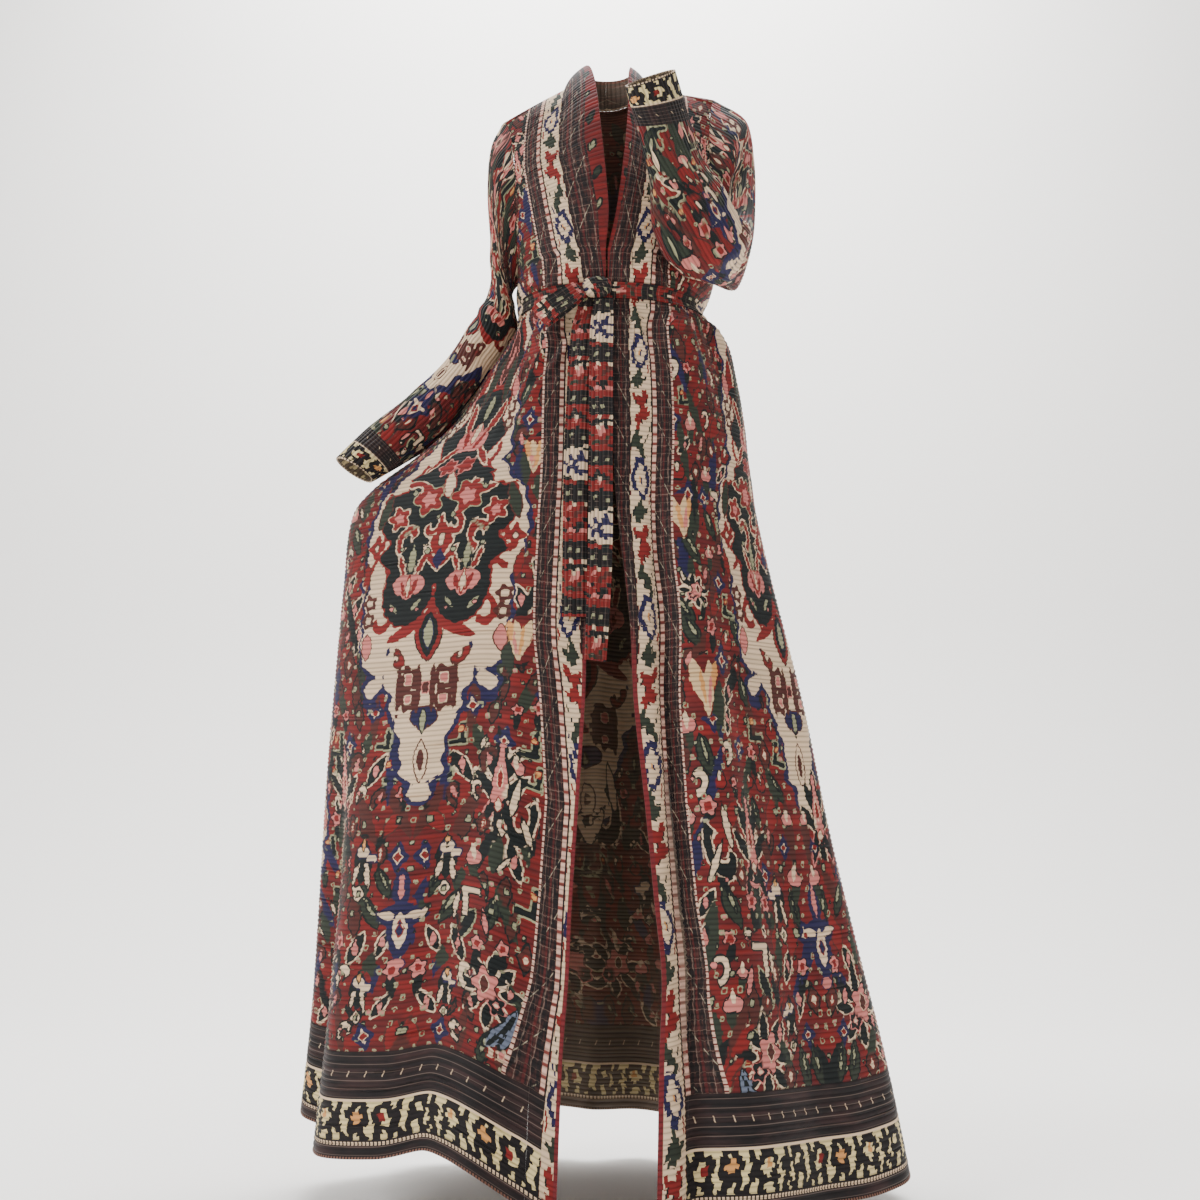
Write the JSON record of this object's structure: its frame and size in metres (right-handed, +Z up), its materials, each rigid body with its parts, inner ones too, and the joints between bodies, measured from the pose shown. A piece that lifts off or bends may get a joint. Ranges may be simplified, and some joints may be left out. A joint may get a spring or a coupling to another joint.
{
  "type": "abaya",
  "caption": "Long open-front abaya in crimped carpet-print cloth, worn form, with shawl band, deep drop sleeves and a tied belt.",
  "frame": {"origin": "midway between the two shoulder neck points, where the garment hangs from the wearer's shoulders", "axes": "+Z up, the wearer faces -Y, the wearer's left is +X"},
  "size_m": [0.7365, 0.5033, 1.5317],
  "materials": {
    "carpet_cloth": "crimped satin-faced cloth printed with a red carpet pattern",
    "band_cloth": "the same crimped cloth printed with a dark plaid"
  },
  "bodies": {
    "root": {"front_right": "carpet_cloth", "front_left": "carpet_cloth", "back": "carpet_cloth", "sleeve_right": "carpet_cloth", "sleeve_left": "carpet_cloth", "band_right": "band_cloth", "band_left": "band_cloth", "collar_right": "band_cloth", "collar_left": "band_cloth", "belt_waist": "band_cloth", "belt_knot": "band_cloth", "belt_loop": "band_cloth", "belt_tail_right": "carpet_cloth", "belt_tail_left": "carpet_cloth"}
  },
  "joints": []
}
